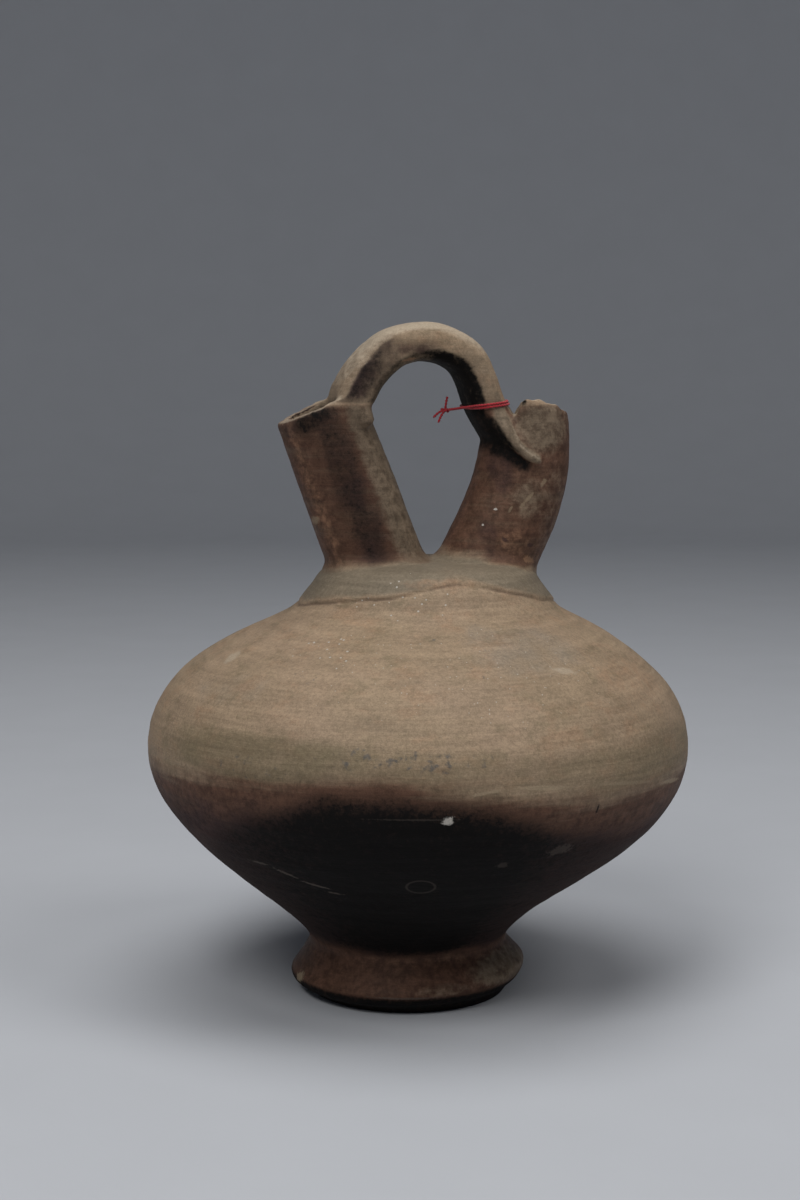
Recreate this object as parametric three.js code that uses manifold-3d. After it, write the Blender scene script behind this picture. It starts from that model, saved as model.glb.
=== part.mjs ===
import * as THREE from 'three';
import { mergeVertices } from 'three/addons/utils/BufferGeometryUtils.js';
import Module from 'manifold-3d';

// A fired clay water vessel: a squat hollow belly on a ring foot, a collar of clay on its shoulder,
// two leaning open spouts, and a strap handle arched between them with a cotton thread tied round it.
// Millimetres, +Z up, +X from the left spout to the right one, origin on the ground below the belly.

// Belly
const bellyRadius = 93;
const bellyLevel = 86;
const shoulderRadius = 46;
const shoulderLevel = 133;
const shoulderOffset = 2.7;
const wallThickness = 5;
const floorThickness = 6.5;
const floorDish = 1.2;
const floorRound = 3;

// Ring foot, thrown a little to the left of the belly, its lip lower on the left
const waistRadius = 34.3;
const waistLevel = 18;
const waistBand = 2.5;
const waistFlare = 0.7;
const footLipRadius = 40.7;
const footLipLevel = 8.2;
const footLipDip = 1.9;
const footRingRadius = 33.8;
const footRecessRadius = 26;
const footRecessDepth = 11;
const footOffset = -3.6;

// Collar of clay round the foot of both spouts
const collarRadius = 44;
const collarOffset = 3.1;
const collarLevel = 149.4;
const collarSink = 2;

// Spouts: where each axis starts, its two bends and its mouth, as (x, z) points, and its slanting rim
const spoutWall = 4.8;
const boreFlare = 4.2;
const rimDropTurn = 12;

const leftSpout = {
  base: [-10.8, 139],
  lowerBend: [-18.8, 160],
  upperBend: [-26.8, 181],
  mouth: [-34.7, 202.4],
  rootRadius: 16.1,
  mouthRadius: 15.2,
  rimTilt: 4,
  rimDrop: 0,
};

const rightSpout = {
  base: [19, 139],
  lowerBend: [31.6, 162],
  upperBend: [42, 181],
  mouth: [36.2, 204.5],
  rootRadius: 16.4,
  mouthRadius: 15,
  rimTilt: -24,
  rimDrop: 12.5,
};

// Strap handle
const handleRise = 22;
const handleThickness = 13;
const handleWidth = 25;
const handleRootWidth = 30;
const handleSquareness = 2.7;
const handleEndShare = 0.955;

// Cotton thread tied round the right limb of the handle
const threadDiameter = 1;
const threadClearance = 0.48;
const threadSlack = 6.4;
const threadKnotRadius = 1.3;
const threadTailLength = 4.6;
const threadTilt = 7.5;

// Facets
const bodySides = 48;
const cavitySides = 36;
const spoutSides = 28;
const boreSides = 20;
const boreSteps = 6;
const spoutSteps = 7;
const handleSides = 20;
const handleSteps = 26;
const threadSides = 8;
const threadSteps = 46;

// How far a cutting solid reaches past the clay that it opens
const cutReach = 9;

const wasm = await Module();
wasm.setup();

function solidFrom(geometry) {
  const bare = geometry.clone();
  bare.deleteAttribute('normal');
  bare.deleteAttribute('uv');
  const merged = mergeVertices(bare, 1e-4);
  return new wasm.Manifold(new wasm.Mesh({
    numProp: 3,
    vertProperties: new Float32Array(merged.attributes.position.array),
    triVerts: new Uint32Array(merged.index.array),
  }));
}

function geometryFrom(solid) {
  const mesh = solid.getMesh();
  const geometry = new THREE.BufferGeometry();
  geometry.setAttribute('position', new THREE.BufferAttribute(new Float32Array(mesh.vertProperties), 3));
  geometry.setIndex(new THREE.BufferAttribute(new Uint32Array(mesh.triVerts), 1));
  geometry.computeVertexNormals();
  return geometry;
}

function moveVertices(geometry, place) {
  const position = geometry.attributes.position;
  const point = new THREE.Vector3();
  for (let i = 0; i < position.count; i += 1) {
    point.fromBufferAttribute(position, i);
    place(point);
    position.setXYZ(i, point.x, point.y, point.z);
  }
  return geometry;
}

// A turned form: a profile of (radius, height) points spun round the vertical axis
function turned(profile, sides) {
  const geometry = new THREE.LatheGeometry(profile, sides);
  geometry.rotateX(Math.PI / 2);
  return geometry;
}

const at = (radius, height) => new THREE.Vector2(radius, height);

// Belly profile: two Bezier arcs that meet at the widest circle
const bellyStart = at(waistRadius + waistFlare, waistLevel + waistBand);

const lowerBelly = new THREE.CubicBezierCurve(
  bellyStart,
  at(
    THREE.MathUtils.lerp(bellyStart.x, bellyRadius, 0.229),
    THREE.MathUtils.lerp(bellyStart.y, bellyLevel, 0.286),
  ),
  at(bellyRadius, THREE.MathUtils.lerp(bellyStart.y, bellyLevel, 0.533)),
  at(bellyRadius, bellyLevel),
);

const upperBelly = new THREE.CubicBezierCurve(
  at(bellyRadius, bellyLevel),
  at(bellyRadius, THREE.MathUtils.lerp(bellyLevel, shoulderLevel, 0.572)),
  at(
    THREE.MathUtils.lerp(shoulderRadius, bellyRadius, 0.421),
    THREE.MathUtils.lerp(shoulderLevel, bellyLevel, 0.203),
  ),
  at(shoulderRadius, shoulderLevel),
);

// The foot's outline from the ring it stands on, round its lip, to the waist
const footOutline = new THREE.SplineCurve([
  at(footRingRadius, 0),
  at(THREE.MathUtils.lerp(footRingRadius, footLipRadius, 0.12), footLipLevel * 0.3),
  at(THREE.MathUtils.lerp(footRingRadius, footLipRadius, 0.62), footLipLevel * 0.62),
  at(footLipRadius, footLipLevel),
  at(
    THREE.MathUtils.lerp(footLipRadius, waistRadius, 0.42),
    THREE.MathUtils.lerp(footLipLevel, waistLevel, 0.4),
  ),
  at(waistRadius, waistLevel),
  bellyStart,
]);

// The clay leans: the foot stands left of the belly, its lip dips left, and the shoulder slumps right
function throwOffCentre(point) {
  const lean = 1 - THREE.MathUtils.smoothstep(point.z, waistLevel * 1.5, bellyLevel * 0.75);
  const slump = THREE.MathUtils.smoothstep(point.z, shoulderLevel * 0.86, shoulderLevel * 0.99);
  const inFoot = Math.sin(Math.PI * THREE.MathUtils.clamp(point.z / waistLevel, 0, 1));
  const outward = point.x / footLipRadius;
  point.z += footLipDip * outward * inFoot;
  point.x += footOffset * lean + shoulderOffset * slump;
}

function bellyBody() {
  const recess = [
    at(0, footRecessDepth),
    at(footRecessRadius * 0.72, footRecessDepth),
    at(footRecessRadius * 0.93, footRecessDepth * 0.75),
    at(footRecessRadius, 0),
  ];
  const profile = [
    ...recess,
    ...footOutline.getPoints(10),
    ...lowerBelly.getPoints(10).slice(1),
    ...upperBelly.getPoints(9).slice(1),
    at(0, shoulderLevel + wallThickness),
  ];
  return solidFrom(moveVertices(turned(profile, bodySides), throwOffCentre));
}

// A curve's points moved inwards by the wall, square to the curve
function wallInside(curve, count) {
  const points = [];
  for (let i = 0; i <= count; i += 1) {
    const point = curve.getPoint(i / count);
    const tangent = curve.getTangent(i / count);
    points.push(at(point.x - tangent.y * wallThickness, point.y + tangent.x * wallThickness));
  }
  return points;
}

function bellyCavity() {
  const floorLevel = footRecessDepth + floorThickness;
  const lower = wallInside(lowerBelly, 9).filter((point) => point.y > floorLevel + floorRound);
  const profile = [
    at(0, floorLevel),
    at(lower[0].x * 0.72, floorLevel + floorDish),
    ...lower,
    ...wallInside(upperBelly, 8).slice(1),
    at(0, shoulderLevel - wallThickness),
  ];
  return solidFrom(moveVertices(turned(profile, cavitySides), throwOffCentre));
}

// The collar's own clay, or with a wall the hollow under it
function collarForm(wall, sides) {
  const radius = collarRadius - wall;
  const rise = collarLevel - shoulderLevel - wall;
  const underside = shoulderLevel - wallThickness - collarSink;
  const profile = [
    at(0, underside),
    at(radius, underside),
    at(radius, shoulderLevel + 0.12 * rise),
    at(radius * 0.98, shoulderLevel + 0.26 * rise),
    at(radius * 0.895, shoulderLevel + 0.5 * rise),
    at(radius * 0.83, shoulderLevel + 0.72 * rise),
    at(radius * 0.74, shoulderLevel + 0.9 * rise),
    at(radius * 0.58, shoulderLevel + 0.97 * rise),
    at(0, shoulderLevel + rise),
  ];
  const geometry = turned(profile, sides);
  geometry.translate(collarOffset, 0, 0);
  return solidFrom(geometry);
}

const across = new THREE.Vector3(0, -1, 0);

// Bends an upright form, 0 to 1 high, along a curve in the XZ plane
function bentAlong(geometry, curve, place) {
  return moveVertices(geometry, (point) => {
    const share = THREE.MathUtils.clamp(point.y, 0, 1);
    const centre = curve.getPointAt(share);
    const along = curve.getTangentAt(share);
    const outward = new THREE.Vector3(along.z, 0, -along.x);
    const { side, depth, ahead } = place(share, point);
    point.copy(centre)
      .addScaledVector(outward, side)
      .addScaledVector(across, depth)
      .addScaledVector(along, ahead);
  });
}

function uprightCylinder(sides, steps) {
  const geometry = new THREE.CylinderGeometry(1, 1, 1, sides, steps);
  geometry.translate(0, 0.5, 0);
  return geometry;
}

const inPlane = ([x, z]) => new THREE.Vector3(x, 0, z);

function spoutAxis({ base, lowerBend, upperBend, mouth }) {
  return new THREE.CubicBezierCurve3(inPlane(base), inPlane(lowerBend), inPlane(upperBend), inPlane(mouth));
}

function spoutRadius(spout, share) {
  return THREE.MathUtils.lerp(
    spout.rootRadius,
    spout.mouthRadius,
    THREE.MathUtils.smoothstep(share, 0.45, 1),
  );
}

// The rim slants, and on the right spout its inner half drops under the handle
function spoutTube(spout) {
  const slope = Math.tan(THREE.MathUtils.degToRad(spout.rimTilt));
  const inward = THREE.MathUtils.degToRad(spout.mouth[0] > 0 ? 180 + rimDropTurn : rimDropTurn);
  const geometry = bentAlong(uprightCylinder(spoutSides, spoutSteps), spoutAxis(spout), (share, point) => {
    const radius = spoutRadius(spout, share);
    const innerShare = point.x * Math.cos(inward) + point.z * Math.sin(inward);
    const drop = spout.rimDrop * THREE.MathUtils.smoothstep(innerShare, -0.05, 0.3);
    const ahead = point.x * radius * slope * share - (share > 0.999 ? drop : 0);
    return { side: point.x * radius, depth: point.z * radius, ahead };
  });
  return solidFrom(geometry);
}

// The bore widens into the hollow under the collar; it stops level with the handle's end or runs out
function spoutBore(spout, throughMouth) {
  const rings = boreSteps + (throughMouth ? 1 : 0);
  const geometry = uprightCylinder(boreSides, rings);
  moveVertices(geometry, (point) => {
    const ring = Math.round(point.y * rings);
    point.y = ring > boreSteps ? 1 : (handleEndShare * ring) / boreSteps;
  });
  bentAlong(geometry, spoutAxis(spout), (share, point) => {
    const flare = boreFlare * (1 - THREE.MathUtils.smoothstep(share, 0, 0.38));
    const radius = spoutRadius(spout, share) - spoutWall + flare;
    let ahead = 0;
    if (share > 0.999) ahead = cutReach;
    if (share < 0.001) ahead = -cutReach;
    return { side: point.x * radius, depth: point.z * radius, ahead };
  });
  return solidFrom(geometry);
}

// The handle's centre line: out of the left spout's inner wall, over the arch, onto the right spout
const leftMouth = inPlane(leftSpout.mouth);
const rightMouth = inPlane(rightSpout.mouth);
const archLeft = leftMouth.x + leftSpout.mouthRadius * 0.75;
const archRight = rightMouth.x - rightSpout.mouthRadius * 0.87;
const archLevel = Math.min(leftMouth.z, rightMouth.z);

function archPoint(spanShare, riseShare) {
  const middle = (archLeft + archRight) / 2;
  const halfSpan = (archRight - archLeft) / 2;
  return new THREE.Vector3(middle + halfSpan * spanShare, 0, archLevel + handleRise * riseShare);
}

// A point beside a spout's axis, by a share of its length and a share of its radius
function besideSpout(spout, share, radiusShare) {
  const axis = spoutAxis(spout);
  const along = axis.getTangentAt(share);
  const sideways = new THREE.Vector3(along.z, 0, -along.x);
  return axis.getPointAt(share).addScaledVector(sideways, spoutRadius(spout, share) * radiusShare);
}

const handleLine = new THREE.CatmullRomCurve3([
  besideSpout(leftSpout, 0.83, 0.8),
  archPoint(-1, 0.02),
  archPoint(-0.88, 0.36),
  archPoint(-0.67, 0.64),
  archPoint(-0.4, 0.87),
  archPoint(0.02, 0.98),
  archPoint(0.4, 0.91),
  archPoint(0.7, 0.72),
  archPoint(0.86, 0.42),
  archPoint(0.99, 0.04),
  besideSpout(rightSpout, 0.86, -0.62),
  besideSpout(rightSpout, 0.77, -0.32),
  besideSpout(rightSpout, 0.68, 0.06),
], false, 'centripetal');

// The strap is thin where it dies into a spout's wall and full elsewhere
function handleSection(share) {
  const smooth = THREE.MathUtils.smoothstep;
  const fullness = 0.42 + 0.62 * smooth(share, 0, 0.1) - 0.08 * smooth(share, 0.3, 0.75)
    - 0.5 * smooth(share, 0.84, 1);
  const spread = 1 - smooth(share, 0.05, 0.3) + smooth(share, 0.72, 0.95);
  return {
    halfThickness: (handleThickness / 2) * fullness,
    halfWidth: THREE.MathUtils.lerp(handleWidth, handleRootWidth, spread) / 2,
  };
}

function superellipse(turn, halfX, halfY) {
  const power = 2 / handleSquareness;
  const c = Math.cos(turn);
  const s = Math.sin(turn);
  return [
    halfX * Math.sign(c) * Math.abs(c) ** power,
    halfY * Math.sign(s) * Math.abs(s) ** power,
  ];
}

function strapHandle() {
  const geometry = bentAlong(uprightCylinder(handleSides, handleSteps), handleLine, (share, point) => {
    const { halfThickness, halfWidth } = handleSection(share);
    const reach = Math.hypot(point.x, point.z);
    const [side, depth] = superellipse(Math.atan2(point.z, point.x), halfThickness, halfWidth);
    return { side: side * reach, depth: depth * reach, ahead: 0 };
  });
  return solidFrom(geometry);
}

// One fired piece: the clay forms are joined, then hollowed from the floor to both mouths
function vesselSolid() {
  const throughBores = spoutBore(leftSpout, true).add(spoutBore(rightSpout, true));
  const lowerBores = spoutBore(leftSpout, false).add(spoutBore(rightSpout, false));
  const hollow = bellyCavity().add(collarForm(wallThickness, cavitySides)).add(throughBores);
  const clay = bellyBody().add(collarForm(0, bodySides))
    .add(spoutTube(leftSpout)).add(spoutTube(rightSpout));
  return clay.subtract(hollow).add(strapHandle().subtract(lowerBores));
}

// The thread goes round the limb once and comes together in a knot inside the arch
const tieShare = 0.754;

function threadLoop() {
  const { halfThickness, halfWidth } = handleSection(tieShare);
  const spare = threadClearance + threadDiameter / 2;
  const centre = handleLine.getPointAt(tieShare);
  const tilt = THREE.MathUtils.degToRad(threadTilt);
  const outward = new THREE.Vector3(Math.cos(tilt), 0, Math.sin(tilt));
  const along = handleLine.getTangentAt(tieShare);
  const slant = Math.abs(outward.dot(new THREE.Vector3(along.z, 0, -along.x)));
  const halfAcross = halfThickness / slant + spare;
  const halfDeep = halfWidth + spare;
  const knot = centre.clone().addScaledVector(outward, -halfAcross - threadSlack);
  const points = [];
  const turns = 13;
  for (let i = 0; i <= turns; i += 1) {
    const turn = THREE.MathUtils.degToRad(THREE.MathUtils.lerp(-142, 142, i / turns));
    const [side, depth] = superellipse(turn, halfAcross, halfDeep);
    points.push(centre.clone().addScaledVector(outward, side).addScaledVector(across, -depth));
  }
  const line = new THREE.CatmullRomCurve3([knot, ...points, knot], false, 'centripetal');
  return { knot, outward, line };
}

function threadTube(curve, steps) {
  const section = new THREE.Shape();
  section.absarc(0, 0, threadDiameter / 2, 0, Math.PI * 2, false);
  const geometry = new THREE.ExtrudeGeometry(section, {
    steps,
    curveSegments: threadSides / 2,
    bevelEnabled: false,
    extrudePath: curve,
  });
  return solidFrom(geometry);
}

function tieThread() {
  const { knot, outward, line } = threadLoop();
  const lump = new THREE.IcosahedronGeometry(threadKnotRadius, 1);
  lump.translate(knot.x, knot.y, knot.z);
  let solid = threadTube(line, threadSteps).add(solidFrom(lump));
  const tailTurns = [-100, 25, 58];
  for (const turn of tailTurns) {
    const angle = THREE.MathUtils.degToRad(turn);
    const heading = outward.clone().multiplyScalar(-Math.cos(angle));
    heading.z -= Math.sin(angle);
    const tip = knot.clone().addScaledVector(heading, threadTailLength);
    solid = solid.add(threadTube(new THREE.LineCurve3(knot, tip), 2));
  }
  return solid;
}

function vessel() {
  const clay = new THREE.MeshStandardMaterial({ color: 0x8a6a50, roughness: 0.72, metalness: 0 });
  const mesh = new THREE.Mesh(geometryFrom(vesselSolid()), clay);
  mesh.name = 'vessel';
  return mesh;
}

function thread() {
  const cotton = new THREE.MeshStandardMaterial({ color: 0xa3202c, roughness: 0.85, metalness: 0 });
  const mesh = new THREE.Mesh(geometryFrom(tieThread()), cotton);
  mesh.name = 'tie_thread';
  return mesh;
}

const model = new THREE.Group();
model.add(vessel(), thread());

export default model;
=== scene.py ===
import math

import bmesh
import bpy
import numpy as np
from mathutils import Matrix, Vector, noise
from mathutils.geometry import interpolate_bezier


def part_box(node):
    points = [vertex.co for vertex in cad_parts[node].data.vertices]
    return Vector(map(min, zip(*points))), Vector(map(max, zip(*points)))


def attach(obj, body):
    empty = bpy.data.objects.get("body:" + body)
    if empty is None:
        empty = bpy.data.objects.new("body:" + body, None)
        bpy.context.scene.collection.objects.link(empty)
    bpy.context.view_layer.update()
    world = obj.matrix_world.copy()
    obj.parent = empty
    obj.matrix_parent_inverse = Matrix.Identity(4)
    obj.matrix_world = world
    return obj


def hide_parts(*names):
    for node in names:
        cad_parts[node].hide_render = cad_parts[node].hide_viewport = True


# A fired clay water vessel with two open spouts and a strap handle, and a red thread tied round it.
# Shapes are built in millimetres and turned into metres when a piece is finished.
mm = 0.001
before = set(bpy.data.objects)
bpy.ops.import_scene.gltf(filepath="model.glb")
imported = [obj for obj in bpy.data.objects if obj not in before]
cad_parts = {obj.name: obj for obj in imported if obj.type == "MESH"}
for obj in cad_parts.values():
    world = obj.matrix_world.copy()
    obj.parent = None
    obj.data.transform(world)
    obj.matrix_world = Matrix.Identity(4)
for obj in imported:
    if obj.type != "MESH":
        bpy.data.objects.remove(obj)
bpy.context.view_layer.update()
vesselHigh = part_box("vessel")[1]
front = np.array((0.0, -1.0, 0.0))

cameraSetup = {
    "lens": 60,
    "turn": -12,  # degrees, seen a little from the left
    "distance": 686,
    "sideways": -6.2,
    "height": 210,
    "pitch": 6.2,  # degrees, looking down
}


def makeCamera(setup):
    turn = math.radians(-setup["turn"])
    pitch = math.radians(setup["pitch"])
    ahead = Vector((math.sin(turn), math.cos(turn), 0))
    right = Vector((math.cos(turn), -math.sin(turn), 0))
    camera = bpy.data.objects.new("camera", bpy.data.cameras.new("camera"))
    bpy.context.scene.collection.objects.link(camera)
    camera.location = (right * setup["sideways"] - ahead * setup["distance"]) * mm
    camera.location.z = setup["height"] * mm
    gaze = ahead * math.cos(pitch) - Vector((0, 0, math.sin(pitch)))
    camera.rotation_mode = "QUATERNION"
    camera.rotation_quaternion = gaze.to_track_quat("-Z", "Y")
    camera.data.lens = setup["lens"]
    camera.data.clip_start = 0.01
    bpy.context.scene.camera = camera


makeCamera(cameraSetup)
print("camera placed")


# Shared shaping tools

def smooth(value, low, high):
    share = np.clip((value - low) / (high - low), 0, 1)
    return share * share * (3 - 2 * share)


def mix(start, end, share):
    return start + (end - start) * share


def objectOf(bm, name):
    mesh = bpy.data.meshes.new(name)
    bm.to_mesh(mesh)
    bm.free()
    thing = bpy.data.objects.new(name, mesh)
    bpy.context.scene.collection.objects.link(thing)
    return thing


def settle(thing):
    bpy.context.view_layer.update()
    graph = bpy.context.evaluated_depsgraph_get()
    shaped = bpy.data.meshes.new_from_object(thing.evaluated_get(graph))
    thing.modifiers.clear()
    thing.data = shaped


def combine(base, tool, operation):
    modifier = base.modifiers.new("combine", "BOOLEAN")
    modifier.operation = operation
    modifier.solver = "MANIFOLD"
    modifier.object = tool
    settle(base)
    bpy.data.objects.remove(tool)


def readPoints(mesh, field="co"):
    values = np.empty(len(mesh.vertices) * 3)
    mesh.vertices.foreach_get(field, values)
    return values.reshape(-1, 3)


def writePoints(mesh, points):
    mesh.vertices.foreach_set("co", points.ravel())
    mesh.update()


def noiseAt(points, size, seed=0):
    scaled = points / np.array(size) + seed * 17.3
    return np.array([noise.noise(point) for point in scaled.tolist()])


def splineThrough(points, perSpan=20):  # a centripetal curve through the points
    knots = [Vector(point) for point in points]
    chain = [knots[0] * 2 - knots[1], *knots, knots[-1] * 2 - knots[-2]]
    line = []
    for a, b, c, d in zip(chain, chain[1:], chain[2:], chain[3:]):
        tb = math.sqrt((b - a).length)
        tc = tb + math.sqrt((c - b).length)
        td = tc + math.sqrt((d - c).length)
        for step in range(perSpan):
            t = mix(tb, tc, step / perSpan)
            ab = a.lerp(b, t / tb)
            bc = b.lerp(c, (t - tb) / (tc - tb))
            cd = c.lerp(d, (t - tc) / (td - tc))
            abc = ab.lerp(bc, t / tc)
            bcd = bc.lerp(cd, (t - tb) / (td - tb))
            line.append(abc.lerp(bcd, (t - tb) / (tc - tb)))
    return [*line, knots[-1]]


def makePath(points, steps):  # even steps along a line, with a frame that doesn't twist
    line = np.array([tuple(point) for point in points], float)
    marks = np.concatenate(([0.0], np.cumsum(np.linalg.norm(np.diff(line, axis=0), axis=1))))
    even = np.linspace(0, marks[-1], steps + 1)
    line = np.stack([np.interp(even, marks, line[:, axis]) for axis in range(3)], axis=1)
    along = np.gradient(line, axis=0)
    along /= np.linalg.norm(along, axis=1)[:, None]
    across = np.empty_like(along)
    last = front
    for step, heading in enumerate(along):
        last = last - heading * np.dot(last, heading)
        last = last / np.linalg.norm(last)
        across[step] = last
    outward = np.cross(along, across)
    return {"line": line, "along": along, "across": across, "outward": outward, "length": marks[-1]}


def sweptForm(path, sides, sectionAt):  # an upright cylinder bent along a path
    steps = len(path["line"]) - 1
    bm = bmesh.new()
    bmesh.ops.create_cone(
        bm, cap_ends=True, cap_tris=True, segments=sides, radius1=1, radius2=1, depth=1)
    bmesh.ops.translate(bm, verts=bm.verts, vec=(0, 0, 0.5))
    uprights = [edge for edge in bm.edges if abs(edge.verts[0].co.z - edge.verts[1].co.z) > 0.5]
    bmesh.ops.subdivide_edges(bm, edges=uprights, cuts=steps - 1, use_grid_fill=True)
    for vert in bm.verts:
        ring = round(vert.co.z * steps)
        side, depth, ahead = sectionAt(ring / steps, vert.co.x, vert.co.y)
        place = path["line"][ring] + path["outward"][ring] * side
        vert.co = place + path["across"][ring] * depth + path["along"][ring] * ahead
    bm.normal_update()
    bmesh.ops.recalc_face_normals(bm, faces=bm.faces)
    return bm


def turnedForm(profile, sides):  # (radius, height) points spun round the upright axis
    bm = bmesh.new()
    verts = [bm.verts.new((radius, 0, height)) for radius, height in profile]
    edges = [bm.edges.new(pair) for pair in zip(verts, verts[1:])]
    bmesh.ops.spin(
        bm, geom=verts + edges, cent=(0, 0, 0), axis=(0, 0, 1), angle=math.tau,
        steps=sides, use_merge=True, use_duplicate=False)
    bmesh.ops.remove_doubles(bm, verts=bm.verts, dist=0.0001)
    bm.normal_update()
    bmesh.ops.recalc_face_normals(bm, faces=bm.faces)
    return bm


# The body: belly, ring foot and the collar of clay under the spouts

body = {
    "bellyRadius": vesselHigh.x / mm,
    "bellyLevel": 86,
    "shoulderRadius": 46,
    "shoulderLevel": 133,
    "wall": 5,
    "waistRadius": 34.3,
    "waistLevel": 18,
    "lipRadius": 40.7,
    "lipLevel": 8.2,
    "lipDip": 1.9,
    "ringRadius": 33.8,
    "recessRadius": 26,
    "recessDepth": 11,
    "floorLevel": 17.5,
    "collarRadius": 44,
    "collarLevel": 149.4,
    "footOffset": -3.6,
    "shoulderOffset": 2.7,
    "collarOffset": 3.1,
    "sides": 256,
    "unevenness": 0.34,
    "burnishing": 0.13,
    "brushing": 0.05,
    "seamHeight": 0.42,
    "seamTop": 147,
    "shoulderEase": 70,  # rounds of easing where the collar rises from the shoulder
}

# Level of the collar's smeared edge at a turn, in degrees from the front towards the right spout
seamLine = {
    "turns": (-165, -120, -90, -50, -21, -6, 7.5, 25, 57, 90, 130, 165),
    "levels": (139.5, 137, 135, 138.8, 140.6, 143.4, 145.7, 142.9, 137.2, 135.4, 138, 141),
}


def bellyArcs():
    start = Vector((body["waistRadius"] + 0.7, body["waistLevel"] + 2.5))
    widest = Vector((body["bellyRadius"], body["bellyLevel"]))
    shoulder = Vector((body["shoulderRadius"], body["shoulderLevel"]))
    lower = interpolate_bezier(
        start,
        Vector((mix(start.x, widest.x, 0.229), mix(start.y, widest.y, 0.286))),
        Vector((widest.x, mix(start.y, widest.y, 0.533))),
        widest, 90)
    upper = interpolate_bezier(
        widest,
        Vector((widest.x, mix(widest.y, shoulder.y, 0.572))),
        Vector((mix(shoulder.x, widest.x, 0.421), mix(shoulder.y, widest.y, 0.203))),
        shoulder, 90)
    return [tuple(point)[:2] for point in lower + upper[1:]]


def footOutline():
    ring, lip, waist = body["ringRadius"], body["lipRadius"], body["waistRadius"]
    lipLevel, waistLevel = body["lipLevel"], body["waistLevel"]
    marks = [
        (ring, 0, 0),
        (mix(ring, lip, 0.3), 0, lipLevel * 0.28),
        (mix(ring, lip, 0.8), 0, lipLevel * 0.6),
        (lip, 0, lipLevel),
        (mix(lip, waist, 0.42), 0, mix(lipLevel, waistLevel, 0.4)),
        (waist, 0, waistLevel),
        (waist + 0.7, 0, waistLevel + 2.5),
    ]
    return [(point.x, point.z) for point in splineThrough(marks)]


def collarOutline():
    radius, low = body["collarRadius"], body["shoulderLevel"]
    rise = body["collarLevel"] - low
    marks = [
        (body["shoulderRadius"], 0, low),
        (radius * 1.01, 0, low + 0.08 * rise),
        (radius * 0.965, 0, low + 0.25 * rise),
        (radius * 0.905, 0, low + 0.5 * rise),
        (radius * 0.845, 0, low + 0.73 * rise),
        (radius * 0.76, 0, low + 0.9 * rise),
        (radius * 0.6, 0, low + 0.97 * rise),
        (0, 0, low + rise),
    ]
    return [(point.x, point.z) for point in splineThrough(marks)]


def spaced(outline, stepAt):  # keeps the points of an outline at the wanted distance
    line = np.array(outline)
    marks = np.concatenate(([0.0], np.cumsum(np.linalg.norm(np.diff(line, axis=0), axis=1))))
    kept = [0.0]
    while kept[-1] < marks[-1]:
        radius, level = (np.interp(kept[-1], marks, line[:, axis]) for axis in range(2))
        kept.append(kept[-1] + stepAt(radius, level))
    even = np.array(kept) * marks[-1] / kept[-1]
    return [(np.interp(mark, marks, line[:, 0]), np.interp(mark, marks, line[:, 1])) for mark in even]


def ringStep(radius, level):
    if level < body["waistLevel"] + 2:
        return 0.85
    if body["shoulderLevel"] < level < body["seamTop"]:
        return 0.42
    if level > body["seamTop"]:
        return 1.3 if radius > 24 else 2.5
    return 1.75


def outerOutline():
    whole = footOutline() + bellyArcs()[1:] + collarOutline()[1:]
    line = np.array(spaced(whole, lambda radius, level: 0.5))
    away = np.abs(line[:, 1] - body["shoulderLevel"])
    weight = (1 - smooth(away, 4, 8))[1:-1, None] * (line[1:-1, :1] > 30)
    for _ in range(body["shoulderEase"]):
        middle = (line[:-2] + line[2:]) / 2
        line[1:-1] += (middle - line[1:-1]) * weight * 0.5
    return [tuple(point) for point in line]


def throwOffCentre(points):  # the foot stands left of the belly and the shoulder slumps right
    x, y, z = points.T
    lean = 1 - smooth(z, body["waistLevel"] * 1.5, body["bellyLevel"] * 0.75)
    slump = smooth(z, body["shoulderLevel"] * 0.86, body["shoulderLevel"] * 0.99)
    perch = smooth(z, body["shoulderLevel"], body["shoulderLevel"] + 3)
    inFoot = np.sin(np.pi * np.clip(z / body["waistLevel"], 0, 1))
    dip = body["lipDip"] * x / body["lipRadius"] * inFoot
    slide = body["footOffset"] * lean + body["shoulderOffset"] * slump
    slide += (body["collarOffset"] - body["shoulderOffset"]) * perch
    return np.stack((x + slide, y, z + dip), axis=1)


def turnOf(points):
    return np.degrees(np.arctan2(points[:, 0], -points[:, 1]))


def seamLevelAt(turn):
    shifts = (-10, -5, 0, 5, 10)  # they round the corners between the given turns
    turns, levels = seamLine["turns"], seamLine["levels"]
    return sum(np.interp(turn + shift, turns, levels, period=360) for shift in shifts) / len(shifts)


def seamWaver(points):  # how the collar's edge wanders up and down
    return 0.5 * noiseAt(points, (7, 7, 30), 3) + 0.25 * noiseAt(points, (2.5, 2.5, 9), 4)


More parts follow.
